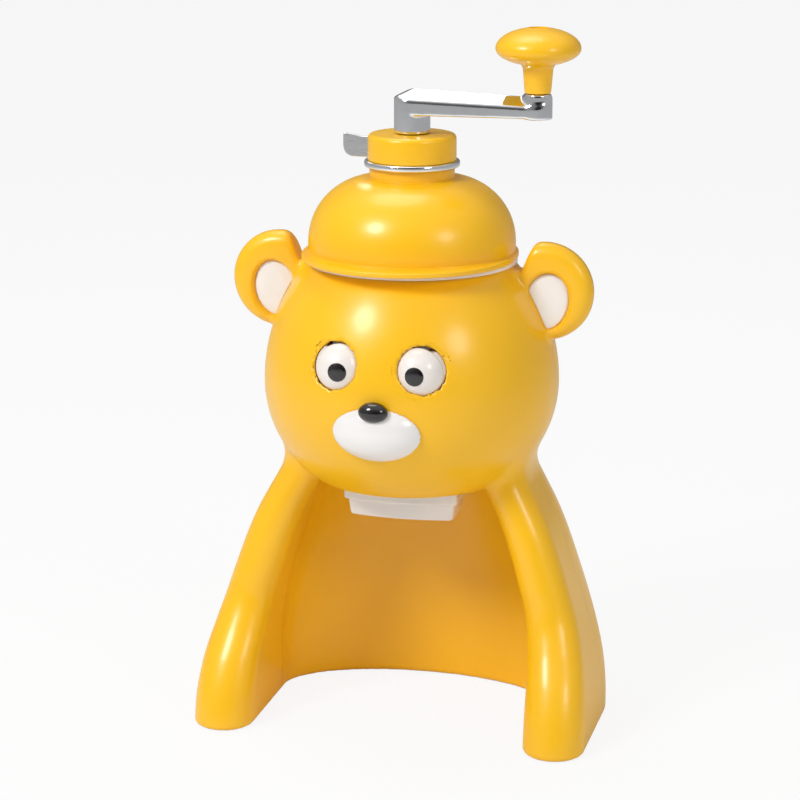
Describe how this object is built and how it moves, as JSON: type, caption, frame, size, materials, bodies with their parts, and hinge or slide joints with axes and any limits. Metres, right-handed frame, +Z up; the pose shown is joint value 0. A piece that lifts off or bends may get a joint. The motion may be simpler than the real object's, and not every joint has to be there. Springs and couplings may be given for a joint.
{
  "type": "hand cranked ice shaver",
  "caption": "Table ice shaver: a rounded bear-shaped head on a C-shaped stand, with a hopper and blade, a lid with a crank spindle and quick release, and glancing eyes.",
  "frame": {"origin": "on the table under the spindle axis, at the middle of the object's box", "axes": "+Z up along the spindle, -Y to the front where the face looks, +X to the side the crank points to at rest"},
  "size_m": [0.206, 0.168, 0.3597],
  "materials": {
    "yellow_shell": "glossy",
    "white_plastic": "glossy",
    "cream_pad": "satin",
    "dark_nose": "glossy",
    "grey_plastic": "satin",
    "rubber_pad": "matte",
    "chrome": "polished",
    "steel": "brushed"
  },
  "bodies": {
    "stand": {"front_cover": "yellow_shell", "rear_cover": "yellow_shell", "base_plate": "grey_plastic", "foot_pads": "rubber_pad", "case_screws": "steel", "ear_left": "yellow_shell", "ear_right": "yellow_shell", "ear_pad_left": "cream_pad", "ear_pad_right": "cream_pad", "muzzle": "cream_pad", "nose": "dark_nose", "eye_carrier": "grey_plastic", "eye_spring": "steel"},
    "eye_left": {"eye_left": "white_plastic", "pupil_left": "dark_nose", "eye_arm_left": "grey_plastic"},
    "eye_right": {"eye_right": "white_plastic", "pupil_right": "dark_nose", "eye_arm_right": "grey_plastic"},
    "eye_yoke": {"eye_yoke": "grey_plastic"},
    "hopper": {"hopper": "white_plastic", "hopper_rim": "white_plastic", "blade_holder": "white_plastic", "blade": "steel", "holder_screws": "steel"},
    "lid": {"lid_shell": "yellow_shell", "trim_ring": "chrome", "collar_cap": "yellow_shell", "tab_spring": "steel"},
    "release": {"release_tab": "steel", "nut_slide": "white_plastic"},
    "cam": {"eye_cam": "white_plastic"},
    "spindle": {"spindle": "steel", "claw_pin": "steel", "ice_claw": "white_plastic", "crank_arm": "chrome", "knob_pin": "steel", "knob_screw": "chrome"},
    "knob": {"knob": "yellow_shell"}
  },
  "joints": [
    {"name": "hopper_lift", "type": "slide", "parent": "stand", "child": "hopper", "axis": [0, 0, 1], "range_m": [0, 0.132]},
    {"name": "lid_lift", "type": "slide", "parent": "hopper", "child": "lid", "axis": [0, 0, 1], "range_m": [0, 0.12]},
    {"name": "tab_push", "type": "slide", "parent": "lid", "child": "release", "axis": [1, 0, 0], "range_m": [0, 0.003], "stiffness_N_per_m": 600, "springref_m": -0.002, "deforming": ["tab_spring"]},
    {"name": "crank_turn", "type": "hinge", "parent": "lid", "child": "cam", "pos_m": [0, 0, 0.25], "axis": [0, 0, 1], "continuous": true},
    {"name": "spindle_lift", "type": "slide", "parent": "cam", "child": "spindle", "axis": [0, 0, 1], "range_m": [0, 0.095]},
    {"name": "knob_turn", "type": "hinge", "parent": "spindle", "child": "knob", "pos_m": [0.0643, 0, 0.34], "axis": [0, 0, 1], "continuous": true},
    {"name": "eye_left_glance", "type": "hinge", "parent": "stand", "child": "eye_left", "pos_m": [-0.0195, -0.061, 0.197], "axis": [0, 0, 1], "range_deg": [-15, 15], "stiffness_Nm_per_rad": 0.02},
    {"name": "eye_right_glance", "type": "hinge", "parent": "stand", "child": "eye_right", "pos_m": [0.0195, -0.061, 0.197], "axis": [0, 0, 1], "range_deg": [-15, 15]},
    {"name": "eye_yoke_slide", "type": "slide", "parent": "stand", "child": "eye_yoke", "axis": [0, 1, 0], "range_m": [-0.0022, 0.0022], "deforming": ["eye_spring"]}
  ],
  "couplings": [
    {"joint": "eye_right_glance", "follows": "eye_left_glance", "ratio": 1},
    {"joint": "eye_yoke_slide", "follows": "eye_left_glance", "m_per_rad": 0.0075175}
  ]
}
